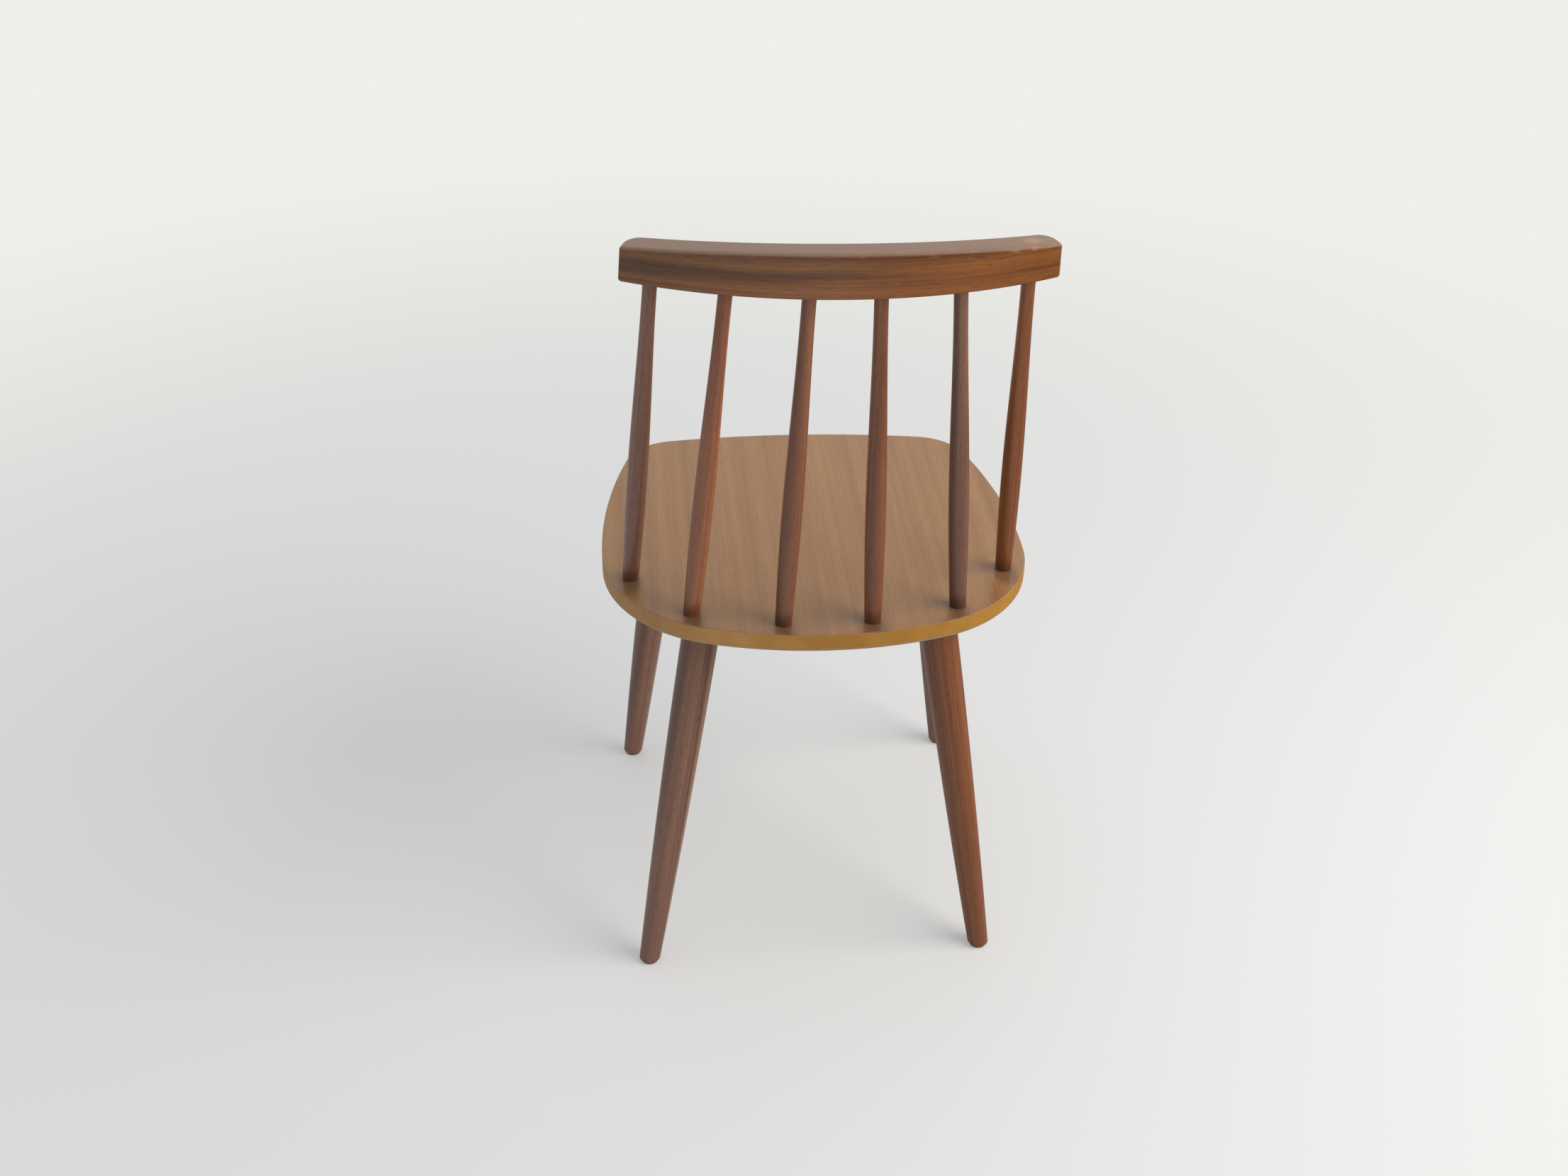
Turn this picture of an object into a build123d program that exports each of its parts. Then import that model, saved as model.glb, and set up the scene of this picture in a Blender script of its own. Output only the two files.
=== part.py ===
from build123d import *
import math
import os

# A spindle-back dining chair: a flat veneered seat, turned legs and spindles, and a bent crest rail.
# Millimetres, +Z up, floor at Z = 0, front towards -Y, mirror symmetric about X = 0.
# While it is being modelled, Y is measured backwards from the middle of the seat's front edge.
# At the end everything moves so that the origin lies under the middle of the chair's overall depth.

# Seat: the common area of four large circles, with rounded corners
seat_height = 440.0
seat_width = 443.0
seat_depth = 420.0
seat_widest_from_front = 245.0
seat_front_radius = 1000.0
seat_side_radius = 660.0
seat_rear_radius = 400.0
seat_front_corner_radius = 60.0
seat_rear_corner_radius = 146.0
seat_core_thickness = 19.8
seat_veneer_thickness = 0.8
seat_top_edge_radius = 1.2
seat_bottom_edge_radius = 6.0

# Crest rail: bent in plan, leaning back, crowned along its top
rail_above_seat = 362.2
rail_behind_seat = 11.0
rail_bend_radius = 427.0
rail_width = 393.4
rail_thickness = 26.0
rail_height = 45.4
rail_crown = 11.4
rail_lean_angle = 9.0
rail_end_angle = 19.0
rail_end_lean_angle = 4.0
rail_front_corner_radius = 14.0
rail_edge_radius = 3.0
rail_socket_depth = 22.0

# Back spindles: feet are spaced along a line inside the seat's edge, heads along the rail's middle line
spindle_foot_inset = 21.5
spindle_foot_middle_gap = 89.0
spindle_foot_spacing = 92.5
spindle_head_middle_gap = 63.0
spindle_head_spacing = 73.0
spindle_head_to_rail_end = 25.0
spindle_foot_diameter = 16.7
spindle_belly_diameter = 19.8
spindle_belly_above_seat = 125.0
spindle_taper_diameter = 17.1
spindle_taper_below_rail = 140.0
spindle_neck_diameter = 13.0
spindle_neck_below_rail = 10.0
spindle_foot_slope = 0.02
spindle_end_gap = 1.0
spindle_wedge_length = 13.0
spindle_wedge_thickness = 2.2
spindle_wedge_tip = 0.6

# Legs: how far their axes lie inside the seat's widest line and its front or rear edge, at foot and top
front_foot_from_side = 25.5
front_foot_from_edge = 18.0
front_leg_top_from_side = 75.4
front_leg_top_from_edge = 59.7
rear_foot_from_side = 38.0
rear_foot_from_edge = 24.0
rear_leg_top_from_side = 103.1
rear_leg_top_from_edge = 90.6
leg_foot_diameter = 21.8
leg_middle_diameter = 33.6
leg_top_diameter = 38.6
leg_foot_chamfer = 1.0
leg_tenon_diameter = 25.0
leg_shoulder_in_batten = 6.0
leg_wedge_length = 18.0
leg_wedge_thickness = 3.2
leg_wedge_tip = 0.8

# Battens under the seat, which hold the legs
batten_thickness = 22.0
batten_width = 56.0
batten_past_leg = 28.0
batten_corner_radius = 14.0
batten_edge_chamfer = 2.0

# Countersunk slotted wood screws, driven up through the battens into the seat core
screw_length = 32.0
screw_diameter = 4.2
screw_head_diameter = 8.4
screw_head_height = 2.6
screw_tip_length = 4.0
screw_slot_width = 1.1
screw_slot_depth = 1.2
screw_middle_gap = 70.0
screw_from_leg = 40.0

# Nailed foot glides
glide_diameter = 18.6
glide_thickness = 3.5
glide_edge_radius = 1.2
nail_diameter = 2.0
nail_head_diameter = 6.0
nail_head_thickness = 1.0
nail_head_recess = 1.0
nail_length = 17.0

# Radial room for glue round a tenon, and round a screw or nail in its hole
glue_gap = 0.1
fastener_gap = 0.05

# Values that follow from the sizes above
seat_thickness = seat_core_thickness + 2 * seat_veneer_thickness
seat_underside = seat_height - seat_thickness
batten_underside = seat_underside - batten_thickness
rail_underside = seat_height + rail_above_seat
rail_outer_radius = rail_bend_radius + rail_thickness / 2
rail_inner_radius = rail_bend_radius - rail_thickness / 2
rail_centre_y = seat_depth + rail_behind_seat - rail_bend_radius
rail_half_angle = math.degrees(math.asin(rail_width / 2 / rail_outer_radius))
seat_half_width = seat_width / 2
nail_top = nail_head_recess + nail_length
sides = {"left": 1, "right": -1}
leg_feet = {
    "front": (seat_half_width - front_foot_from_side, front_foot_from_edge),
    "rear": (seat_half_width - rear_foot_from_side, seat_depth - rear_foot_from_edge),
}
leg_tops = {
    "front": (seat_half_width - front_leg_top_from_side, front_leg_top_from_edge),
    "rear": (seat_half_width - rear_leg_top_from_side, seat_depth - rear_leg_top_from_edge),
}


def seat_outline(inset):
    """The seat's outline, or the line that runs inside it by the inset."""
    side_offset = seat_side_radius - seat_half_width
    side_disc = Circle(seat_side_radius - inset)
    outline = Pos(0, seat_front_radius) * Circle(seat_front_radius - inset)
    outline &= Pos(0, seat_depth - seat_rear_radius) * Circle(seat_rear_radius - inset)
    outline &= Pos(side_offset, seat_widest_from_front) * side_disc
    outline &= Pos(-side_offset, seat_widest_from_front) * side_disc
    front_corners = outline.vertices().sort_by(Axis.Y)[:2]
    outline = fillet(front_corners, seat_front_corner_radius - inset)
    rear_corners = [
        corner for corner in outline.vertices()
        if corner.Y > seat_widest_from_front and abs(corner.X) > seat_half_width / 2
    ]
    return fillet(rear_corners, seat_rear_corner_radius - inset)


def spindle_foot_line():
    """The left half of the line that the spindle feet stand on, as one wire of arcs."""
    left_half = Pos(seat_half_width, seat_depth / 2) * Rectangle(seat_width, 2 * seat_depth)
    return Wire((seat_outline(spindle_foot_inset) & left_half).edges().filter_by(GeomType.CIRCLE))


def point_on(line, distance):
    """The point at a distance along a line, measured from whichever of its ends is further back."""
    from_start = distance if (line @ 0).Y > (line @ 1).Y else line.length - distance
    return line.position_at(from_start, position_mode=PositionMode.LENGTH)


def axis_plane(start, end, across):
    """A plane whose Z runs from start to end, with X as near to the across direction as it can be."""
    along = (end - start).normalized()
    sideways = (across - along * across.dot(along)).normalized()
    return Plane(origin=start, x_dir=sideways, z_dir=along)


def rod(diameter, low, high):
    """A round rod on the Z axis, between two heights."""
    return extrude(Pos(0, 0, low) * Circle(diameter / 2), amount=high - low)


def turned(outline):
    """A turned piece from its outline in the XZ plane, which starts and ends on the Z axis."""
    return revolve(make_face(outline), Axis.Z)


def wedge_blank(tip_at, thick_at, tip, thickness, width):
    """A wedge along Z, thin at tip_at and thick at thick_at, as wide as the tenon that it spreads."""
    section = Plane.XZ * Polygon(
        (-tip / 2, tip_at),
        (tip / 2, tip_at),
        (thickness / 2, thick_at),
        (-thickness / 2, thick_at),
        align=None,
    )
    return extrude(section, amount=width / 2, both=True)


def above(shape, height):
    """What lies above a level plane."""
    return split(shape, bisect_by=Plane.XY.offset(height), keep=Keep.TOP)


def below(shape, height):
    """What lies below a level plane."""
    return split(shape, bisect_by=Plane.XY.offset(height), keep=Keep.BOTTOM)


parts = {}

# Back spindles: the foot goes right through the seat, the head ends inside the rail
spindle_holes = []
head_holes = []
foot_line = spindle_foot_line()
inner_head = spindle_head_middle_gap / 2
outer_head = rail_bend_radius * math.radians(rail_half_angle) - spindle_head_to_rail_end
head_distances = {"inner": inner_head, "middle": inner_head + spindle_head_spacing, "outer": outer_head}
for order, (name, head_distance) in enumerate(head_distances.items()):
    foot_point = point_on(foot_line, spindle_foot_middle_gap / 2 + order * spindle_foot_spacing)
    head_turn = head_distance / rail_bend_radius
    head_x = rail_bend_radius * math.sin(head_turn)
    head_y = rail_centre_y + rail_bend_radius * math.cos(head_turn)
    for side, sign in sides.items():
        foot = Vector(sign * foot_point.X, foot_point.Y, seat_height)
        head = Vector(sign * head_x, head_y, rail_underside)
        plane = axis_plane(foot, head, Vector(0, 1, 0))
        length = (head - foot).length
        rise = plane.z_dir.Z
        through_seat = seat_thickness / rise
        spare = spindle_foot_diameter
        foot_end = -through_seat - spare
        end = length + rail_socket_depth - spindle_end_gap
        neck = length - spindle_neck_below_rail
        curve = Spline(
            (spindle_foot_diameter / 2, 0, 0),
            (spindle_belly_diameter / 2, 0, spindle_belly_above_seat),
            (spindle_taper_diameter / 2, 0, length - spindle_taper_below_rail),
            (spindle_neck_diameter / 2, 0, neck),
            tangents=((spindle_foot_slope, 0, 1), (0, 0, 1)),
        )
        rest = Polyline(
            (spindle_neck_diameter / 2, 0, neck),
            (spindle_neck_diameter / 2, 0, end),
            (0, 0, end),
            (0, 0, foot_end),
            (spindle_foot_diameter / 2, 0, foot_end),
            (spindle_foot_diameter / 2, 0, 0),
        )
        blank = turned(curve + rest)
        taper = (spindle_wedge_thickness - spindle_wedge_tip) / spindle_wedge_length
        wedge = wedge_blank(
            spindle_wedge_length - through_seat,
            foot_end,
            spindle_wedge_tip,
            spindle_wedge_thickness + taper * spare,
            spindle_foot_diameter,
        )
        wedge &= rod(spindle_foot_diameter, foot_end, 0)
        parts[f"spindle_{name}_{side}"] = above(plane.location * (blank - wedge), seat_underside)
        parts[f"spindle_wedge_{name}_{side}"] = above(plane.location * wedge, seat_underside)
        foot_hole = rod(spindle_foot_diameter + 2 * glue_gap, foot_end, spare)
        head_hole = rod(spindle_neck_diameter + 2 * glue_gap, length - spare, length + rail_socket_depth)
        spindle_holes.append(plane.location * foot_hole)
        head_holes.append(plane.location * head_hole)

# Crest rail: a slanting slice of a ring, crowned along its top, with softened corners and edges
blank_half_angle = rail_half_angle + rail_end_angle / 4
outer_arc = CenterArc((0, rail_centre_y), rail_outer_radius, 90 - blank_half_angle, 2 * blank_half_angle)
inner_arc = CenterArc((0, rail_centre_y), rail_inner_radius, 90 - blank_half_angle, 2 * blank_half_angle)
rail_plan = make_face([
    outer_arc,
    Line(outer_arc @ 1, inner_arc @ 1),
    inner_arc,
    Line(inner_arc @ 0, outer_arc @ 0),
])
lean = math.radians(rail_lean_angle)
rail = extrude(
    Pos(0, 0, rail_underside) * rail_plan,
    amount=rail_height / math.cos(lean),
    dir=(0, math.sin(lean), math.cos(lean)),
)
rail_top = rail_underside + rail_height
rail_end_top = rail_top - rail_crown
crown_arc = ThreePointArc(
    (-rail_width / 2, 0, rail_end_top), (0, 0, rail_top), (rail_width / 2, 0, rail_end_top)
)
crown_sides = Polyline(
    crown_arc @ 1,
    (rail_width / 2, 0, rail_underside - rail_height),
    (-rail_width / 2, 0, rail_underside - rail_height),
    crown_arc @ 0,
)
crown_reach = abs(rail_centre_y) + 2 * rail_outer_radius
rail &= extrude(make_face(crown_arc + crown_sides), amount=crown_reach, both=True)
end_y = rail_centre_y + rail_outer_radius * math.cos(math.radians(rail_half_angle))
end_turn = math.radians(rail_end_angle)
for sign in sides.values():
    across_end = Vector(sign * math.sin(end_turn), math.cos(end_turn), 0)
    off_end = Vector(sign * math.cos(end_turn), -math.sin(end_turn), 0)
    up_end = Vector(0, math.tan(lean), 1) - off_end * math.tan(math.radians(rail_end_lean_angle))
    end_plane = Plane(
        origin=(sign * rail_width / 2, end_y, rail_underside),
        x_dir=across_end,
        z_dir=across_end.cross(up_end) * sign,
    )
    rail = split(rail, bisect_by=end_plane, keep=Keep.BOTTOM)
upright_edges = [edge for edge in rail.edges() if edge.bounding_box().size.Z > rail_height / 2]
rail = fillet(ShapeList(upright_edges).sort_by(Axis.Y)[:2], rail_front_corner_radius)
rail = fillet(rail.edges(), rail_edge_radius)
parts["crest_rail"] = rail - head_holes

# Legs: the foot is cut level on its glide, the tenon and its wedge end level under the seat
easing_cone = Cone(
    leg_foot_diameter / 2 - leg_foot_chamfer,
    leg_foot_diameter / 2 + leg_foot_chamfer,
    2 * leg_foot_chamfer,
    align=(Align.CENTER, Align.CENTER, Align.MIN),
)
foot_easing = rod(2 * leg_foot_diameter, 0, 2 * leg_foot_chamfer) - easing_cone
foot_centres = []
shoulder_sockets = {"front": [], "rear": []}
for name, (foot_x, foot_y) in leg_feet.items():
    top_x, top_y = leg_tops[name]
    for side, sign in sides.items():
        foot = Vector(sign * foot_x, foot_y, glide_thickness)
        top = Vector(sign * top_x, top_y, seat_underside)
        plane = axis_plane(foot, top, Vector(1, 0, 0))
        length = (top - foot).length
        rise = plane.z_dir.Z
        spare = leg_foot_diameter / 2
        shoulder = (batten_underside + leg_shoulder_in_batten - glide_thickness) / rise
        curve = ThreePointArc(
            (leg_foot_diameter / 2, 0, -spare),
            (leg_middle_diameter / 2, 0, shoulder / 2),
            (leg_top_diameter / 2, 0, shoulder),
        )
        rest = Polyline(
            (leg_top_diameter / 2, 0, shoulder),
            (leg_tenon_diameter / 2, 0, shoulder),
            (leg_tenon_diameter / 2, 0, length + spare),
            (0, 0, length + spare),
            (0, 0, -spare),
            (leg_foot_diameter / 2, 0, -spare),
        )
        taper = (leg_wedge_thickness - leg_wedge_tip) / leg_wedge_length
        wedge = wedge_blank(
            length - leg_wedge_length,
            length + spare,
            leg_wedge_tip,
            leg_wedge_thickness + taper * spare,
            leg_tenon_diameter,
        )
        wedge &= rod(leg_tenon_diameter, shoulder, length + spare)
        leg = below(plane.location * (turned(curve + rest) - wedge), seat_underside)
        leg = above(leg, glide_thickness)
        leg -= Pos(foot.X, foot.Y, foot.Z) * foot_easing
        nail_hole = rod(nail_diameter + 2 * fastener_gap, 0, nail_top + fastener_gap)
        parts[f"leg_{name}_{side}"] = leg - Pos(foot.X, foot.Y) * nail_hole
        parts[f"leg_wedge_{name}_{side}"] = below(plane.location * wedge, seat_underside)
        tenon_hole = rod(leg_tenon_diameter + 2 * glue_gap, shoulder - spare, length + spare)
        shoulder_hole = rod(leg_top_diameter + 2 * glue_gap, shoulder - 2 * batten_thickness, shoulder)
        shoulder_sockets[name] += [plane.location * tenon_hole, plane.location * shoulder_hole]
        foot_centres.append((f"{name}_{side}", Pos(foot.X, foot.Y)))

# Foot glides, each held by a nail whose head is sunk into it
glide = rod(glide_diameter, 0, glide_thickness)
glide = fillet(glide.faces().sort_by(Axis.Z)[0].edges(), glide_edge_radius)
nail_seat = nail_head_recess + nail_head_thickness
glide -= rod(nail_head_diameter + 2 * fastener_gap, 0, nail_seat)
glide -= rod(nail_diameter + 2 * fastener_gap, 0, glide_thickness)
nail = turned(Polyline(
    (0, 0, nail_head_recess),
    (nail_head_diameter / 2, 0, nail_head_recess),
    (nail_head_diameter / 2, 0, nail_seat),
    (nail_diameter / 2, 0, nail_seat),
    (nail_diameter / 2, 0, nail_top - nail_diameter),
    (0, 0, nail_top),
    (0, 0, nail_head_recess),
))
for name, place in foot_centres:
    parts[f"glide_{name}"] = place * glide
parts["glide_nails"] = Compound([place * nail for name, place in foot_centres])


def screw_form(gap):
    """A countersunk screw standing on its head, or the hole for it with a gap all round."""
    return turned(Polyline(
        (0, 0, 0),
        (screw_head_diameter / 2 + gap, 0, 0),
        (screw_diameter / 2 + gap, 0, screw_head_height),
        (screw_diameter / 2 + gap, 0, screw_length - screw_tip_length),
        (0, 0, screw_length + gap),
        (0, 0, 0),
    ))


# Battens, each bored for two legs and drilled for its screws
screw_slot = Box(screw_head_diameter, screw_slot_width, 2 * screw_slot_depth)
seat_screw_holes = []
for name, (top_x, top_y) in leg_tops.items():
    batten_length = 2 * (top_x + batten_past_leg)
    batten_plan = RectangleRounded(batten_length, batten_width, batten_corner_radius)
    batten = extrude(Pos(0, top_y, batten_underside) * batten_plan, amount=batten_thickness)
    batten = chamfer(batten.faces().sort_by(Axis.Z)[0].edges(), batten_edge_chamfer)
    screw_points = [
        Pos(sign * x, top_y, batten_underside)
        for x in (screw_middle_gap / 2, top_x - screw_from_leg)
        for sign in sides.values()
    ]
    screw_holes = [point * screw_form(fastener_gap) for point in screw_points]
    seat_screw_holes += screw_holes
    parts[f"{name}_batten"] = batten - shoulder_sockets[name] - screw_holes
    screw = screw_form(0) - screw_slot
    parts[f"{name}_batten_screws"] = Compound([point * screw for point in screw_points])

# Seat: one plate with eased edges, cut into its core and its two veneers
seat = extrude(Pos(0, 0, seat_underside) * seat_outline(0), amount=seat_thickness)
seat = fillet(seat.faces().sort_by(Axis.Z)[-1].edges(), seat_top_edge_radius)
seat = fillet(seat.faces().sort_by(Axis.Z)[0].edges(), seat_bottom_edge_radius)
seat -= spindle_holes
seat -= seat_screw_holes
core_top = seat_height - seat_veneer_thickness
core_underside = seat_underside + seat_veneer_thickness
parts["seat_top_veneer"] = above(seat, core_top)
parts["seat_core"] = above(below(seat, core_top), core_underside)
parts["seat_bottom_veneer"] = below(seat, core_underside)

# Everything moves so that the origin is under the middle of the overall depth
boxes = [shape.bounding_box() for shape in parts.values()]
front_end = min(box.min.Y for box in boxes)
back_end = max(box.max.Y for box in boxes)
to_origin = Pos(0, -(front_end + back_end) / 2, 0)
print("overall depth", round(back_end - front_end, 2), "front edge at Y", round(to_origin.position.Y, 3))

os.makedirs("parts", exist_ok=True)
for name, shape in parts.items():
    export_step(to_origin * shape, f"parts/{name}.step")
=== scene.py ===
import bmesh
import bpy
import math
import numpy as np
from mathutils import Matrix, Vector


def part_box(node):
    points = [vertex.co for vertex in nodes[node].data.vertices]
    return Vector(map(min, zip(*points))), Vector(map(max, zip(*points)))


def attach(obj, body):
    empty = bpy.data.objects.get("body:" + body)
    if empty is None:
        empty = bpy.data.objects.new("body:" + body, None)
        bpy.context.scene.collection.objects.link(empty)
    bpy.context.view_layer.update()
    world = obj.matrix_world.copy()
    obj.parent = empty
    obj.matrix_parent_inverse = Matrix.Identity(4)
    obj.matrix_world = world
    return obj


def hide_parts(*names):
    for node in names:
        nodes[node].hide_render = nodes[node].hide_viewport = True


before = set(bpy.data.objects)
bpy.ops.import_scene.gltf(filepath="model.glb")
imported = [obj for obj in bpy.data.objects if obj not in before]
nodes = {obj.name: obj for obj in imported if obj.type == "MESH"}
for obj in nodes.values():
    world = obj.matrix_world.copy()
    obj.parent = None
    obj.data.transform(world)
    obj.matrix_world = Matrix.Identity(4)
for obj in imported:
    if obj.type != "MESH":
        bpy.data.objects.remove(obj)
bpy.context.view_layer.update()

# Seat plate: plywood with a teak veneer on top and a plainer backing veneer below, pressed in one go.
# The outline was sawn and sanded round, the top was lacquered satin, and the edge was oiled.
# The fine fore-and-aft lines of the top veneer are what the eye meets first.
millimetre = 0.001


def linear(hex_code):
    """An sRGB hex colour as the linear colour that a shader takes."""
    channels = [int(hex_code[i:i + 2], 16) / 255 for i in (1, 3, 5)]
    return [c / 12.92 if c <= 0.04045 else ((c + 0.055) / 1.055) ** 2.4 for c in channels] + [1.0]


def add(tree, kind, inputs=None, stops=(), **settings):
    """Adds a node with its settings, the stops of its colour ramp, and its inputs.

    Each input takes another node's output socket or a plain value. Inputs that share a name go by
    number: a range turns what lies from 1 to 2 into 3 to 4, and a mix has its share at 0, with two
    numbers at 2 and 3 or two colours at 6 and 7."""
    node = tree.nodes.new(kind)
    for name, value in settings.items():
        setattr(node, name, value)
    for number, (position, hex_code) in enumerate(stops):
        if number == len(node.color_ramp.elements):
            node.color_ramp.elements.new(1.0)
        node.color_ramp.elements[number].position = position
        node.color_ramp.elements[number].color = linear(hex_code)
    for name, value in (inputs or {}).items():
        if isinstance(value, bpy.types.NodeSocket):
            tree.links.new(value, node.inputs[name])
        else:
            node.inputs[name].default_value = value
    return node


def new_finish(name):
    """An empty material with its node tree and its surface shader."""
    finish = bpy.data.materials.new(name)
    finish.use_nodes = True
    return finish, finish.node_tree, finish.node_tree.nodes["Principled BSDF"]


def give_finish(finish, *names):
    """Puts a finish on CAD nodes that keep their shape."""
    for name in names:
        for slot in nodes[name].material_slots:
            slot.material = finish


def figure_wood(tree, shader, grain, tones, line_width, wander, pore_tone, pore_share, pore_length,
                roughness):
    """Gives a shader the growth lines, fibres and open pores of a hardwood, and returns its colour.

    The grain coordinates are in metres, with X across the growth lines and Z along the fibres. Fibres
    and pores are drawn coarser than real ones, so that they show."""
    sway_size = (120 * millimetre, 120 * millimetre, 900 * millimetre)
    line_length = 1500 * millimetre
    slow = add(tree, "ShaderNodeMapping", {"Vector": grain, "Scale": sway_size}, vector_type="TEXTURE")
    sway = add(tree, "ShaderNodeTexNoise", {"Vector": slow.outputs[0], "Scale": 1.0, "Detail": 1.0})
    spread = add(tree, "ShaderNodeSeparateXYZ", {0: grain})
    swayed = add(tree, "ShaderNodeMath", {0: sway.outputs["Fac"], 1: wander, 2: spread.outputs["X"]},
                 operation="MULTIPLY_ADD")
    layer = add(tree, "ShaderNodeMath", {0: swayed.outputs[0], 1: line_width}, operation="DIVIDE")
    fading = add(tree, "ShaderNodeMath", {0: spread.outputs["Z"], 1: line_length}, operation="DIVIDE")
    sheet = add(tree, "ShaderNodeCombineXYZ", {0: layer.outputs[0], 1: fading.outputs[0]})
    lines = add(tree, "ShaderNodeTexNoise", {"Vector": sheet.outputs[0], "Scale": 1.0, "Detail": 5.0,
                                             "Roughness": 0.6}, noise_dimensions="2D")
    tone = add(tree, "ShaderNodeValToRGB", {"Fac": lines.outputs["Fac"]}, stops=tones)

    fibre_size = (1.1 * millimetre, 1.1 * millimetre, 70 * millimetre)
    fibre_share = 0.5
    strands = add(tree, "ShaderNodeMapping", {"Vector": grain, "Scale": fibre_size}, vector_type="TEXTURE")
    fibres = add(tree, "ShaderNodeTexNoise",
                 {"Vector": strands.outputs[0], "Scale": 1.0, "Detail": 3.0})
    shade = add(tree, "ShaderNodeValToRGB", {"Fac": fibres.outputs["Fac"]},
                stops=[(0.28, "#A8A8A8"), (0.72, "#CECECE")])
    fibrous = add(tree, "ShaderNodeMix", {0: fibre_share, 6: tone.outputs[0], 7: shade.outputs[0]},
                  data_type="RGBA", blend_type="SOFT_LIGHT")

    pore_size = (0.6 * millimetre, 0.6 * millimetre, pore_length)
    pore_rim, pore_middle = 0.60, 0.74
    dashes = add(tree, "ShaderNodeMapping", {"Vector": grain, "Scale": pore_size}, vector_type="TEXTURE")
    pits = add(tree, "ShaderNodeTexNoise", {"Vector": dashes.outputs[0], "Scale": 1.0, "Detail": 0.0})
    pores = add(tree, "ShaderNodeMapRange", {0: pits.outputs["Fac"], 1: pore_rim, 2: pore_middle})
    filled = add(tree, "ShaderNodeMath", {0: pores.outputs[0], 1: pore_share}, operation="MULTIPLY")
    colour = add(tree, "ShaderNodeMix",
                 {0: filled.outputs[0], 6: fibrous.outputs[2], 7: linear(pore_tone)}, data_type="RGBA")
    tree.links.new(colour.outputs[2], shader.inputs["Base Color"])

    fibre_low, fibre_high = 0.3, 0.7
    roughness_swing = 0.05
    rough = add(tree, "ShaderNodeMapRange",
                {0: fibres.outputs["Fac"], 1: fibre_low, 2: fibre_high,
                 3: roughness - roughness_swing, 4: roughness + roughness_swing})
    tree.links.new(rough.outputs[0], shader.inputs["Roughness"])

    fibre_relief = 0.35
    relief_depth = 0.06 * millimetre
    relief_strength = 0.3
    raised = add(tree, "ShaderNodeMath", {0: fibres.outputs["Fac"], 1: fibre_relief},
                 operation="MULTIPLY")
    surface = add(tree, "ShaderNodeMath", {0: raised.outputs[0], 1: filled.outputs[0]},
                  operation="SUBTRACT")
    bump = add(tree, "ShaderNodeBump", {"Height": surface.outputs[0], "Strength": relief_strength,
                                        "Distance": relief_depth})
    tree.links.new(bump.outputs[0], shader.inputs["Normal"])
    return colour.outputs[2]


# Teak veneer, sliced and lacquered: straight fine lines of low contrast under a soft satin gloss
top_finish, tree, shader = new_finish("teak_veneer_satin_lacquer")
place = add(tree, "ShaderNodeTexCoord")
spread = add(tree, "ShaderNodeSeparateXYZ", {0: place.outputs["Object"]})
grain = add(tree, "ShaderNodeCombineXYZ", {0: spread.outputs["X"], 1: spread.outputs["Z"],
                                           2: spread.outputs["Y"]})
veneer_tones = [(0.30, "#8F653E"), (0.45, "#986C42"), (0.58, "#9E7246"), (0.72, "#A3774A")]
colour = figure_wood(tree, shader, grain.outputs[0], veneer_tones, line_width=15 * millimetre,
                     wander=3 * millimetre, pore_tone="#5E4029", pore_share=0.3,
                     pore_length=12 * millimetre, roughness=0.36)

# Painted shade: the strip behind the spindles is darker, standing in for the weaker reflection of the room
# there
strip_starts = 95 * millimetre
strip_ends = 190 * millimetre
rear_strip_shade = 0.86
behind = add(tree, "ShaderNodeMapRange", {0: spread.outputs["Y"], 1: strip_starts, 2: strip_ends,
                                          3: 1.0, 4: rear_strip_shade})
rear_strip_shaded = add(tree, "ShaderNodeHueSaturation", {"Color": colour, "Value": behind.outputs[0]})
tree.links.new(rear_strip_shaded.outputs[0], shader.inputs["Base Color"])
shader.inputs["Coat Weight"].default_value = 0.25
shader.inputs["Coat Roughness"].default_value = 0.22
give_finish(top_finish, "seat_top_veneer")

# Plywood edge, sanded round and oiled: golden, with plies that can only just be told apart, and with a
# painted reflection of the pale floor that makes its lower round paler and greyer
edge_finish, tree, shader = new_finish("plywood_edge_oiled")
place = add(tree, "ShaderNodeTexCoord")
spread = add(tree, "ShaderNodeSeparateXYZ", {0: place.outputs["Object"]})
ply_thickness = 1.4 * millimetre
oil_blotch = 22.2 * millimetre
oil_share = 0.55
ply = add(tree, "ShaderNodeMath", {0: spread.outputs["Z"], 1: ply_thickness}, operation="DIVIDE")
plies = add(tree, "ShaderNodeTexNoise", {"W": ply.outputs[0], "Scale": 1.0, "Detail": 0.0},
            noise_dimensions="1D")
oiled = add(tree, "ShaderNodeTexNoise",
            {"Vector": place.outputs["Object"], "Scale": 1 / oil_blotch, "Detail": 4.0})
uneven = add(tree, "ShaderNodeMix", {0: oil_share, 2: plies.outputs["Fac"], 3: oiled.outputs["Fac"]})
colour = add(tree, "ShaderNodeValToRGB", {"Fac": uneven.outputs[0]},
             stops=[(0.3, "#A8783C"), (0.5, "#B58443"), (0.7, "#C08F54")])
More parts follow.
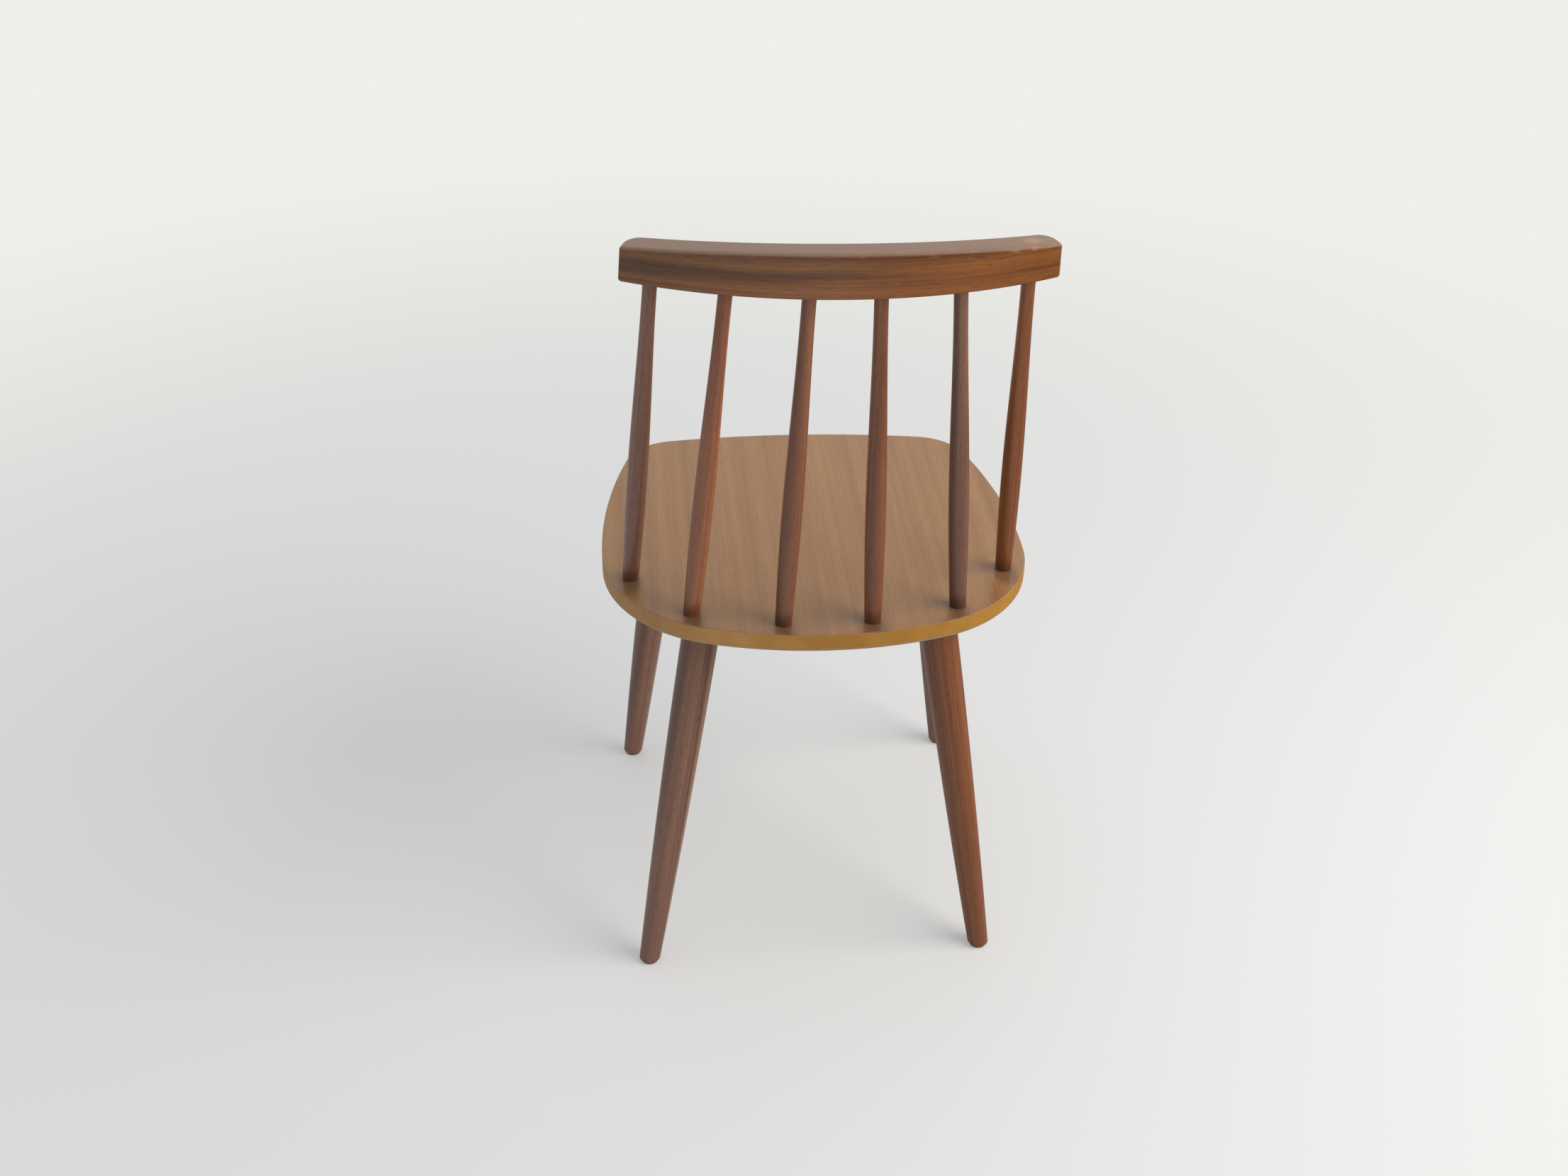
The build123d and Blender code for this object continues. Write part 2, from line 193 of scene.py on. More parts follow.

# Painted light: the edge is paler and greyer on the left, for the light and the pale room mirrored there,
# and browner towards the right
edge_side_light_reach = 200 * millimetre
leftward = add(tree, "ShaderNodeMapRange",
               {0: spread.outputs["X"], 1: -edge_side_light_reach, 2: edge_side_light_reach})
edge_side_light = add(tree, "ShaderNodeValToRGB", {"Fac": leftward.outputs[0]},
               stops=[(0.0, "#E0DC86"), (0.55, "#E5D98E"), (0.78, "#FFFFFF"), (1.0, "#F6F6FF")])
edge_side_lit = add(tree, "ShaderNodeMix", {0: 1.0, 6: colour.outputs[0], 7: edge_side_light.outputs[0]},
              data_type="RGBA", blend_type="MULTIPLY")
# Painted reflection: the lower round is mixed towards a pale grey-brown, for the pale floor mirrored in it
core_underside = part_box("seat_core")[0][2]
lip_sheen_starts = core_underside + 4.8 * millimetre
lip_sheen_full = core_underside + 2.8 * millimetre
lip_sheen_share = 0.9
lip = add(tree, "ShaderNodeMapRange",
          {0: spread.outputs["Z"], 1: lip_sheen_starts, 2: lip_sheen_full, 4: lip_sheen_share})
wear_and_sheen = add(tree, "ShaderNodeMix", {0: lip.outputs[0], 6: edge_side_lit.outputs[2], 7: linear("#A08566")},
           data_type="RGBA")
tree.links.new(wear_and_sheen.outputs[2], shader.inputs["Base Color"])
smoothest, roughest = 0.42, 0.58
grit = add(tree, "ShaderNodeMapRange", {0: oiled.outputs["Fac"], 3: smoothest, 4: roughest})
tree.links.new(grit.outputs[0], shader.inputs["Roughness"])
give_finish(edge_finish, "seat_core")

# Backing veneer, sanded and left matt: a plain pale brown leaf that runs the same way as the top
back_finish, tree, shader = new_finish("backing_veneer_matt")
place = add(tree, "ShaderNodeTexCoord")
spread = add(tree, "ShaderNodeSeparateXYZ", {0: place.outputs["Object"]})
grain = add(tree, "ShaderNodeCombineXYZ", {0: spread.outputs["X"], 1: spread.outputs["Z"],
                                           2: spread.outputs["Y"]})
backing_tones = [(0.3, "#94754F"), (0.5, "#A5845B"), (0.7, "#B08E65")]
figure_wood(tree, shader, grain.outputs[0], backing_tones, line_width=40 * millimetre,
            wander=20 * millimetre, pore_tone="#6E5338", pore_share=0.35,
            pore_length=9 * millimetre, roughness=0.6)
give_finish(back_finish, "seat_bottom_veneer")

# Battens: two planed beech strips screwed up under the seat, which take the tenons of the legs.
# The small wedges that spread the tenons are beech too, and show only from below.
spots = ("inner_left", "inner_right", "middle_left", "middle_right", "outer_left", "outer_right")
corners = ("front_left", "front_right", "rear_left", "rear_right")

# Beech, planed and left bare: pale, even and matt, with many short flecks
batten_finish, tree, shader = new_finish("beech_planed")
place = add(tree, "ShaderNodeTexCoord")
spread = add(tree, "ShaderNodeSeparateXYZ", {0: place.outputs["Object"]})
grain = add(tree, "ShaderNodeCombineXYZ", {0: spread.outputs["Z"], 1: spread.outputs["Y"],
                                           2: spread.outputs["X"]})
beech_tones = [(0.3, "#AE8458"), (0.5, "#BE9466"), (0.7, "#C79F72")]
figure_wood(tree, shader, grain.outputs[0], beech_tones, line_width=14 * millimetre,
            wander=12 * millimetre, pore_tone="#8F6540", pore_share=0.6,
            pore_length=3 * millimetre, roughness=0.56)
give_finish(batten_finish, "front_batten", "rear_batten")
give_finish(batten_finish, *[f"spindle_wedge_{spot}" for spot in spots])
give_finish(batten_finish, *[f"leg_wedge_{corner}" for corner in corners])

# Fasteners: slotted wood screws through the battens, and flat-headed nails sunk into the glides.
# They are plain steel, once bright and now a little dulled, so they shine softly and unevenly.
tarnish_spot = 1.11 * millimetre
smoothest, roughest = 0.28, 0.5
steel_finish, tree, shader = new_finish("bright_steel_dulled")
place = add(tree, "ShaderNodeTexCoord")
dull = add(tree, "ShaderNodeTexNoise",
           {"Vector": place.outputs["Object"], "Scale": 1 / tarnish_spot, "Detail": 3.0})
colour = add(tree, "ShaderNodeValToRGB", {"Fac": dull.outputs["Fac"]},
             stops=[(0.3, "#8E8C88"), (0.7, "#B4B2AD")])
tree.links.new(colour.outputs[0], shader.inputs["Base Color"])
tarnish = add(tree, "ShaderNodeMapRange", {0: dull.outputs["Fac"], 3: smoothest, 4: roughest})
tree.links.new(tarnish.outputs[0], shader.inputs["Roughness"])
shader.inputs["Metallic"].default_value = 1.0
give_finish(steel_finish, "front_batten_screws", "rear_batten_screws", "glide_nails")

# Legs: four turned teak legs, splayed, tapering with a slight swell to a level foot.
# Each is tenoned and wedged into its batten, and stands on a nailed glide.
seat_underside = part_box("seat_bottom_veneer")[0][2]
batten_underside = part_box("front_batten")[0][2]
leg_tops = {"front": (146.1, -165.639), "rear": (118.4, 104.061)}
leg_foot_radius = 10.9 * millimetre
leg_middle_radius = 16.8 * millimetre
leg_top_radius = 19.3 * millimetre
leg_tenon_radius = 12.5 * millimetre
leg_shoulder_in_batten = 6 * millimetre
leg_foot_easing = 1 * millimetre
leg_rings = 72


def turning_tree():
    """A lathe: each point of an outline (radius, lift, station) becomes a ring round a slanting axis.

    The ends are cut level. The place of each point in the blank is stored for the grain, with a tone and
    redness for each piece, partly its board's own colour and partly painted light, which makes the pieces
    on the left greyer for the cooler light and sheen there."""
    tree = bpy.data.node_groups.new("turning", "GeometryNodeTree")
    sockets = tree.interface
    sockets.new_socket("Outline", in_out="INPUT", socket_type="NodeSocketGeometry")
    for name, kind in (("Foot", "Vector"), ("Axis", "Vector"), ("Across", "Vector"),
                       ("Behind", "Vector"), ("Low cut", "Float"), ("High cut", "Float"),
                       ("Blank shift", "Vector"), ("Board", "Vector"), ("Sides", "Int"),
                       ("Finish", "Material")):
        sockets.new_socket(name, in_out="INPUT", socket_type="NodeSocket" + kind)
    sockets.new_socket("Turned", in_out="OUTPUT", socket_type="NodeSocketGeometry")
    given = add(tree, "NodeGroupInput").outputs
    count = add(tree, "GeometryNodeAttributeDomainSize", {"Geometry": given["Outline"]})
    last = add(tree, "ShaderNodeMath", {0: count.outputs["Point Count"], 1: 1.0}, operation="SUBTRACT")
    columns = add(tree, "ShaderNodeMath", {0: given["Sides"], 1: 1.0}, operation="ADD")
    sheet = add(tree, "GeometryNodeMeshGrid", {
        "Size X": last.outputs[0], "Size Y": given["Sides"],
        "Vertices X": count.outputs["Point Count"], "Vertices Y": columns.outputs[0]})
    where = add(tree, "ShaderNodeSeparateXYZ", {0: add(tree, "GeometryNodeInputPosition").outputs[0]})
    ring = add(tree, "ShaderNodeMath", {0: last.outputs[0], 1: 0.5, 2: where.outputs["X"]},
               operation="MULTIPLY_ADD")
    ring_number = add(tree, "ShaderNodeMath", {0: ring.outputs[0]}, operation="ROUND")
    share = add(tree, "ShaderNodeMath", {0: where.outputs["Y"], 1: given["Sides"]}, operation="DIVIDE")
    turn = add(tree, "ShaderNodeMath", {0: share.outputs[0], 1: 2 * math.pi}, operation="MULTIPLY")
    cosine = add(tree, "ShaderNodeMath", {0: turn.outputs[0]}, operation="COSINE")
    sine = add(tree, "ShaderNodeMath", {0: turn.outputs[0]}, operation="SINE")
    drawn = add(tree, "GeometryNodeSampleIndex", {
        "Geometry": given["Outline"], "Value": add(tree, "GeometryNodeInputPosition").outputs[0],
        "Index": ring_number.outputs[0]}, data_type="FLOAT_VECTOR")
    outline = add(tree, "ShaderNodeSeparateXYZ", {0: drawn.outputs[0]}).outputs
    over = add(tree, "ShaderNodeMath", {0: outline["X"], 1: cosine.outputs[0]}, operation="MULTIPLY")
    back = add(tree, "ShaderNodeMath", {0: outline["X"], 1: sine.outputs[0]}, operation="MULTIPLY")
    point = given["Foot"]
    for direction, distance in (("Axis", outline["Z"]), ("Across", over.outputs[0]),
                                ("Behind", back.outputs[0])):
        step = add(tree, "ShaderNodeVectorMath", {0: given[direction], "Scale": distance},
                   operation="SCALE")
        point = add(tree, "ShaderNodeVectorMath", {0: point, 1: step.outputs[0]}).outputs[0]
    height = add(tree, "ShaderNodeSeparateXYZ", {0: point}).outputs["Z"]
    rise = add(tree, "ShaderNodeSeparateXYZ", {0: given["Axis"]}).outputs["Z"]
    lowest = add(tree, "ShaderNodeMath", {0: given["Low cut"], 1: outline["Y"]}, operation="ADD")
    kept = add(tree, "ShaderNodeMath", {0: height, 1: lowest.outputs[0]}, operation="MAXIMUM")
    kept = add(tree, "ShaderNodeMath", {0: kept.outputs[0], 1: given["High cut"]}, operation="MINIMUM")
    missing = add(tree, "ShaderNodeMath", {0: kept.outputs[0], 1: height}, operation="SUBTRACT")
    slide = add(tree, "ShaderNodeMath", {0: missing.outputs[0], 1: rise}, operation="DIVIDE")
    shift = add(tree, "ShaderNodeVectorMath", {0: given["Axis"], "Scale": slide.outputs[0]},
                operation="SCALE")
    point = add(tree, "ShaderNodeVectorMath", {0: point, 1: shift.outputs[0]}).outputs[0]
    in_blank = add(tree, "ShaderNodeCombineXYZ",
                   {0: over.outputs[0], 1: back.outputs[0], 2: outline["Z"]})
    in_wood = add(tree, "ShaderNodeVectorMath", {0: in_blank.outputs[0], 1: given["Blank shift"]})
    stored = add(tree, "GeometryNodeStoreNamedAttribute", {
        "Geometry": sheet.outputs["Mesh"], "Name": "blank", "Value": in_wood.outputs[0]},
        data_type="FLOAT_VECTOR", domain="POINT")
    toned = add(tree, "GeometryNodeStoreNamedAttribute", {
        "Geometry": stored.outputs[0], "Name": "board", "Value": given["Board"]},
        data_type="FLOAT_VECTOR", domain="POINT")
    placed = add(tree, "GeometryNodeSetPosition", {"Geometry": toned.outputs[0], "Position": point})
    weld = 0.001 * millimetre
    closed = add(tree, "GeometryNodeMergeByDistance", {"Geometry": placed.outputs[0], "Distance": weld})
    least_fold = math.radians(35)
    fold = add(tree, "GeometryNodeInputMeshEdgeAngle")
    crisp = add(tree, "FunctionNodeCompare", {0: fold.outputs["Unsigned Angle"], 1: least_fold},
                data_type="FLOAT", operation="GREATER_THAN")
    marked = add(tree, "GeometryNodeStoreNamedAttribute", {
        "Geometry": closed.outputs[0], "Name": "sharp_edge", "Value": crisp.outputs[0]},
        data_type="BOOLEAN", domain="EDGE")
    whole = add(tree, "GeometryNodeRealizeInstances", {"Geometry": marked.outputs[0]})
    finished = add(tree, "GeometryNodeSetMaterial", {"Geometry": whole.outputs[0],
                                                     "Material": given["Finish"]})
    add(tree, "NodeGroupOutput", {"Turned": finished.outputs[0]})
    return tree


turning = turning_tree()


def turned(name, outline, foot, head, across, low_cut, high_cut, blank_shift, board, finish, facets=64):
    """One turned piece of the given outline between two points, as a plain mesh."""
    drawing = bpy.data.meshes.new(name)
    drawing.from_pydata(outline, [(i, i + 1) for i in range(len(outline) - 1)], [])
    piece = bpy.data.objects.new(name, drawing)
    bpy.context.scene.collection.objects.link(piece)
    axis = (head - foot).normalized()
    sideways = (across - axis * across.dot(axis)).normalized()
    lathe = piece.modifiers.new("turning", "NODES")
    lathe.node_group = turning
    given = {"Foot": foot, "Axis": axis, "Across": sideways, "Behind": axis.cross(sideways),
             "Low cut": low_cut, "High cut": high_cut, "Blank shift": blank_shift,
             "Board": (*board, 0.0), "Sides": facets, "Finish": finish}
    for socket in turning.interface.items_tree:
        if socket.name in given:
            lathe[socket.identifier] = given[socket.name]
    bpy.context.view_layer.update()
    shape = bpy.data.meshes.new_from_object(piece.evaluated_get(bpy.context.evaluated_depsgraph_get()))
    piece.modifiers.clear()
    piece.data = shape
    outward = bmesh.new()
    outward.from_mesh(shape)
    bmesh.ops.recalc_face_normals(outward, faces=outward.faces)
    outward.to_mesh(shape)
    outward.free()
    return piece


# Turned teak, oiled and lacquered: dark lines that open into long loops where the taper cuts them
turned_finish, tree, shader = new_finish("turned_teak_satin")
blank = add(tree, "ShaderNodeAttribute", attribute_name="blank")
turned_tones = [(0.28, "#552D15"), (0.44, "#6C3C1E"), (0.58, "#784522"), (0.74, "#85512D")]
colour = figure_wood(tree, shader, blank.outputs["Vector"], turned_tones, line_width=9 * millimetre,
                     wander=16 * millimetre, pore_tone="#2E1A10", pore_share=0.4,
                     pore_length=10 * millimetre, roughness=0.40)
board = add(tree, "ShaderNodeAttribute", attribute_name="board")
share = add(tree, "ShaderNodeSeparateXYZ", {0: board.outputs["Vector"]})
toned = add(tree, "ShaderNodeHueSaturation", {"Color": colour, "Value": share.outputs["X"],
                                              "Saturation": share.outputs["Y"]})
tree.links.new(toned.outputs[0], shader.inputs["Base Color"])
shader.inputs["Specular IOR Level"].default_value = 0.4
shader.inputs["Coat Weight"].default_value = 0.15
shader.inputs["Coat Roughness"].default_value = 0.28

sides = {"left": 1, "right": -1}
# Each piece: its tone, then its redness, partly the board's own colour and partly painted light that makes
# the left-hand pieces greyer
leg_tones_and_light = {"front_left": (1.35, 0.77), "front_right": (1.4, 0.8),
              "rear_left": (1.06, 0.77), "rear_right": (1.15, 0.98)}
for row, (end, (top_x, top_y)) in enumerate(leg_tops.items()):
    for side, sign in sides.items():
        glide_low, glide_high = [Vector(corner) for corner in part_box(f"glide_{end}_{side}")]
        foot_level = glide_high.z
        foot = (glide_low + glide_high) / 2
        foot.z = foot_level
        top = Vector((sign * top_x * millimetre, top_y * millimetre, seat_underside))
        length = (top - foot).length
        rise = (top - foot).normalized().z
        shoulder = (batten_underside + leg_shoulder_in_batten - foot_level) / rise

        # The lathe leaves each end longer than it should be, and level cuts take the spare off
        spare = leg_foot_radius
        swell = np.polyfit((-spare, shoulder / 2, shoulder),
                           (leg_foot_radius, leg_middle_radius, leg_top_radius), 2)
        stations = np.linspace(2 * spare, shoulder, leg_rings)
        outline = [(0, 0, -spare), (np.polyval(swell, 0) - leg_foot_easing, 0, -spare),
                   (np.polyval(swell, 0), leg_foot_easing, -spare)]
        outline += [(np.polyval(swell, station), 0, station) for station in stations]
        outline += [(leg_tenon_radius, 0, shoulder), (leg_tenon_radius, 0, length + spare),
                    (0, 0, length + spare)]

        # Each blank was sawn from another place and turned another way round
        shift = Vector((31 * row + 17 * sign, 50 * sign, 400 * row)) * millimetre
        across = Vector((1, 0.35 * sign, 0))
        piece = turned(f"turned_leg_{end}_{side}", outline, foot, top, across, foot_level,
                       seat_underside, shift, leg_tones_and_light[f"{end}_{side}"], turned_finish)
        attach(piece, "root")
        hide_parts(f"leg_{end}_{side}")

# Glides: small brown nylon discs nailed under the feet, moulded smooth and since scuffed by floors.
# Only their rims show, as a thin dull line under each foot.
scuff_mark = 1.43 * millimetre
smoothest, roughest = 0.45, 0.65
nylon_ior = 1.53
glide_finish, tree, shader = new_finish("nylon_moulded_scuffed")
place = add(tree, "ShaderNodeTexCoord")
scuff = add(tree, "ShaderNodeTexNoise",
            {"Vector": place.outputs["Object"], "Scale": 1 / scuff_mark, "Detail": 4.0})
colour = add(tree, "ShaderNodeValToRGB", {"Fac": scuff.outputs["Fac"]},
             stops=[(0.3, "#4C3C2C"), (0.6, "#6A5741")])
tree.links.new(colour.outputs[0], shader.inputs["Base Color"])
scratched = add(tree, "ShaderNodeMapRange", {0: scuff.outputs["Fac"], 3: smoothest, 4: roughest})
tree.links.new(scratched.outputs[0], shader.inputs["Roughness"])
shader.inputs["IOR"].default_value = nylon_ior
give_finish(glide_finish, *[f"glide_{corner}" for corner in corners])

# Back spindles: six turned teak rods, fattest a third of the way up and slimmest under the rail.
# Each foot goes right through the seat and is wedged from below, each head is glued into the rail.
seat_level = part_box("seat_top_veneer")[1][2]
rail_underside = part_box("crest_rail")[0][2]
spindle_feet = {"inner": (44.398, 170.548), "middle": (133.484, 147.288), "outer": (192.546, 78.866)}
spindle_heads = {"inner": (31.471, 204.5), "middle": (103.46, 192.937), "outer": (168.211, 171.133)}
spindle_foot_radius = 8.35 * millimetre
spindle_belly_radius = 9.9 * millimetre
spindle_taper_radius = 8.55 * millimetre
spindle_neck_radius = 6.5 * millimetre
belly_above_seat = 125 * millimetre
taper_below_rail = 140 * millimetre
neck_below_rail = 10 * millimetre
head_in_rail = 21 * millimetre
foot_slope = 0.02
foot_recess = 0.06 * millimetre
turned_below_seat = 1.6 * (seat_level - seat_underside)
above_rail = 1000 * millimetre
spindle_rings = 76
# Each piece: its tone, then its redness, partly the board's own colour and partly painted light that makes
# the left-hand pieces greyer
spindle_tones_and_light = {"inner_left": (1.15, 0.9), "inner_right": (1.15, 0.93), "middle_left": (1.8, 0.92),
                  "middle_right": (0.92, 0.8), "outer_left": (1.3, 0.77), "outer_right": (1.3, 1.0)}

# Painted shade: each spindle is darkened over its last two centimetres above the seat, where it meets it
foot_shade_starts = seat_level + 22 * millimetre
foot_shade_full = seat_level + 7 * millimetre
foot_shade_share = 0.42
tree = turned_finish.node_tree
place = add(tree, "ShaderNodeTexCoord")
spread = add(tree, "ShaderNodeSeparateXYZ", {0: place.outputs["Object"]})
foot_shade_ramp = add(tree, "ShaderNodeMapRange",
               {0: spread.outputs["Z"], 1: foot_shade_starts, 2: foot_shade_full, 4: foot_shade_share},
               interpolation_type="SMOOTHSTEP")
on_spindle = add(tree, "ShaderNodeMath", {0: spread.outputs["Z"], 1: seat_underside},
                 operation="GREATER_THAN")
foot_shade = add(tree, "ShaderNodeMath", {0: foot_shade_ramp.outputs[0], 1: on_spindle.outputs[0]},
           operation="MULTIPLY")
foot_shaded = add(tree, "ShaderNodeMix", {0: foot_shade.outputs[0], 6: toned.outputs[0], 7: linear("#24120A")},
            data_type="RGBA")
tree.links.new(foot_shaded.outputs[2], tree.nodes["Principled BSDF"].inputs["Base Color"])

# Painted shadow: the seat is darkened behind each foot too, in longish patches
squeeze = 0.55
patch_behind_foot = 10
patch_edge = 17 * millimetre
patch_middle = 7 * millimetre
patch_share = 0.45
tree = top_finish.node_tree
place = add(tree, "ShaderNodeTexCoord")
squeezed = add(tree, "ShaderNodeVectorMath", {0: place.outputs["Object"], 1: (1, squeeze, 1)},
               operation="MULTIPLY")
nearest = 1.0
for foot_x, foot_y in spindle_feet.values():
    for sign in sides.values():
        patch_y = (foot_y + patch_behind_foot) * squeeze
        centre = (sign * foot_x * millimetre, patch_y * millimetre, seat_level)
        reach = add(tree, "ShaderNodeVectorMath", {0: squeezed.outputs[0], 1: centre},
                    operation="DISTANCE")
        nearer = add(tree, "ShaderNodeMath", {0: reach.outputs["Value"], 1: nearest},
                     operation="MINIMUM")
        nearest = nearer.outputs[0]
seat_foot_shadow = add(tree, "ShaderNodeMapRange", {0: nearest, 1: patch_edge, 2: patch_middle, 4: patch_share},
            interpolation_type="SMOOTHSTEP")
seat_foot_shadowed = add(tree, "ShaderNodeMix", {0: seat_foot_shadow.outputs[0], 6: rear_strip_shaded.outputs[0], 7: linear("#48393A")},
              data_type="RGBA")
tree.links.new(seat_foot_shadowed.outputs[2], tree.nodes["Principled BSDF"].inputs["Base Color"])


def smooth_radii(knots, radii, first_slope, last_slope, stations):
    """Radii on a smooth curve through the given ones, with given slopes at its two ends."""
    count = len(knots)
    gaps = np.diff(knots)
    steps = np.diff(radii) / gaps
    rows = np.eye(count)
    slopes = np.array([first_slope] + [0.0] * (count - 2) + [last_slope])
    for i in range(1, count - 1):
        rows[i, i - 1:i + 2] = (gaps[i], 2 * (gaps[i - 1] + gaps[i]), gaps[i - 1])
        slopes[i] = 3 * (gaps[i] * steps[i - 1] + gaps[i - 1] * steps[i])
    slopes = np.linalg.solve(rows, slopes)
    spans = np.clip(np.searchsorted(knots, stations) - 1, 0, count - 2)
    part = (stations - np.array(knots)[spans]) / gaps[spans]
    low, high = np.array(radii)[spans], np.array(radii)[spans + 1]
    rise_low, rise_high = slopes[spans] * gaps[spans], slopes[spans + 1] * gaps[spans]
    return ((2 * part**3 - 3 * part**2 + 1) * low + (part**3 - 2 * part**2 + part) * rise_low
            + (3 * part**2 - 2 * part**3) * high + (part**3 - part**2) * rise_high)


for row, (name, (foot_x, foot_y)) in enumerate(spindle_feet.items()):
    head_x, head_y = spindle_heads[name]
    for side, sign in sides.items():
        foot = Vector((sign * foot_x * millimetre, foot_y * millimetre, seat_level))
        head = Vector((sign * head_x * millimetre, head_y * millimetre, rail_underside))
        length = (head - foot).length
        neck = length - neck_below_rail
        stations = np.linspace(0, neck, spindle_rings)
        radii = smooth_radii((0, belly_above_seat, length - taper_below_rail, neck),
                             (spindle_foot_radius, spindle_belly_radius, spindle_taper_radius,
                              spindle_neck_radius), foot_slope, 0.0, stations)
        outline = [(0, 0, -turned_below_seat), (spindle_foot_radius, 0, -turned_below_seat)]
        outline += [(radius, 0, station) for radius, station in zip(radii, stations)]
        outline += [(spindle_neck_radius, 0, length + head_in_rail), (0, 0, length + head_in_rail)]
        shift = Vector((23 * row + 11 * sign, 40 * row, 1100 + 500 * row + 200 * sign)) * millimetre
        across = Vector((0.5 * sign, 1 - 0.6 * row, 0))
        piece = turned(f"turned_spindle_{name}_{side}", outline, foot, head, across,
                       seat_underside + foot_recess, above_rail, shift,
                       spindle_tones_and_light[f"{name}_{side}"], turned_finish, facets=48)
        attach(piece, "root")
        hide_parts(f"spindle_{name}_{side}")

# Crest rail: one bent teak board that leans back and is crowned along its top.
# Its ends are cut back and rounded, its edges are eased, and it has sockets below for the spindles.
# The grain follows the bend, so the finish measures along the arc, through the board and up its face.
rail_bend_radius = 427 * millimetre
rail_centre_y = -221.339 * millimetre
rail_lean = math.radians(9)
rail_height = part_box("crest_rail")[1][2] - rail_underside
rail_half_thickness = 13 * millimetre
rail_crown_radius = 1704 * millimetre
layer_slant = 0.4
rail_finish, tree, shader = new_finish("bent_teak_satin")
place = add(tree, "ShaderNodeTexCoord")
spread = add(tree, "ShaderNodeSeparateXYZ", {0: place.outputs["Object"]})
rise = add(tree, "ShaderNodeMath", {0: spread.outputs["Z"], 1: rail_underside}, operation="SUBTRACT")
plumb = add(tree, "ShaderNodeMath",
            {0: rise.outputs[0], 1: -math.tan(rail_lean), 2: spread.outputs["Y"]},
            operation="MULTIPLY_ADD")
outward = add(tree, "ShaderNodeMath", {0: plumb.outputs[0], 1: rail_centre_y}, operation="SUBTRACT")
spoke = add(tree, "ShaderNodeCombineXYZ", {0: spread.outputs["X"], 1: outward.outputs[0]})
reach = add(tree, "ShaderNodeVectorMath", {0: spoke.outputs[0]}, operation="LENGTH")
depth = add(tree, "ShaderNodeMath", {0: reach.outputs["Value"], 1: rail_bend_radius},
            operation="SUBTRACT")
swing = add(tree, "ShaderNodeMath", {0: spread.outputs["X"], 1: outward.outputs[0]},
            operation="ARCTAN2")
along = add(tree, "ShaderNodeMath", {0: swing.outputs[0], 1: rail_bend_radius}, operation="MULTIPLY")
slanted = add(tree, "ShaderNodeMath", {0: depth.outputs[0], 1: layer_slant, 2: rise.outputs[0]},
              operation="MULTIPLY_ADD")
grain = add(tree, "ShaderNodeCombineXYZ",
            {0: slanted.outputs[0], 1: depth.outputs[0], 2: along.outputs[0]})

# Bent teak, oiled and lacquered: brown lines that follow the bend, under a soft satin gloss
rail_tones = [(0.28, "#57331C"), (0.44, "#774A2B"), (0.58, "#8A5A31"), (0.74, "#9D6A42")]
colour = figure_wood(tree, shader, grain.outputs[0], rail_tones, line_width=12 * millimetre,
                     wander=18 * millimetre, pore_tone="#2E1A10", pore_share=0.4,
                     pore_length=12 * millimetre, roughness=0.40)
shader.inputs["Specular IOR Level"].default_value = 0.4
shader.inputs["Coat Weight"].default_value = 0.15
shader.inputs["Coat Roughness"].default_value = 0.32

# The board is paler towards its lower edge
pale_below = 14 * millimetre
dark_above = 32 * millimetre
pale_tone, dark_tone = 1.15, 0.92
upward = add(tree, "ShaderNodeMapRange", {0: rise.outputs[0], 1: pale_below, 2: dark_above,
                                          3: pale_tone, 4: dark_tone})
graded = add(tree, "ShaderNodeHueSaturation", {"Color": colour, "Value": upward.outputs[0]})

# A darker streak of heartwood runs mid-height along the left half of the back and dies out past the middle
streak_slope = 0.036
streak_rise = 25 * millimetre
streak_waver = 14 * millimetre
cloud_size = (12 * millimetre, 20 * millimetre, 90 * millimetre)
streak_edge = 11 * millimetre
streak_middle = 1 * millimetre
streak_share = 0.5
streak_gone = -80 * millimetre
streak_whole = 20 * millimetre
level = add(tree, "ShaderNodeMath", {0: along.outputs[0], 1: streak_slope, 2: rise.outputs[0]},
            operation="MULTIPLY_ADD")
off_streak = add(tree, "ShaderNodeMath", {0: level.outputs[0], 1: streak_rise}, operation="SUBTRACT")
blur = add(tree, "ShaderNodeMapping", {"Vector": grain.outputs[0], "Scale": cloud_size},
           vector_type="TEXTURE")
cloud = add(tree, "ShaderNodeTexNoise", {"Vector": blur.outputs[0], "Scale": 1.0, "Detail": 3.0})
wavering = add(tree, "ShaderNodeMath",
               {0: cloud.outputs["Fac"], 1: streak_waver, 2: off_streak.outputs[0]},
               operation="MULTIPLY_ADD")
beside = add(tree, "ShaderNodeMath", {0: wavering.outputs[0], 1: streak_waver / 2},
             operation="SUBTRACT")
beside = add(tree, "ShaderNodeMath", {0: beside.outputs[0]}, operation="ABSOLUTE")
streak = add(tree, "ShaderNodeMapRange",
             {0: beside.outputs[0], 1: streak_edge, 2: streak_middle, 4: streak_share},
             interpolation_type="SMOOTHSTEP")
dying = add(tree, "ShaderNodeMapRange", {0: along.outputs[0], 1: streak_gone, 2: streak_whole},
            interpolation_type="SMOOTHSTEP")
streak = add(tree, "ShaderNodeMath", {0: streak.outputs[0], 1: dying.outputs[0]}, operation="MULTIPLY")
streaked = add(tree, "ShaderNodeMix",
               {0: streak.outputs[0], 6: graded.outputs[0], 7: linear("#3A231A")}, data_type="RGBA")

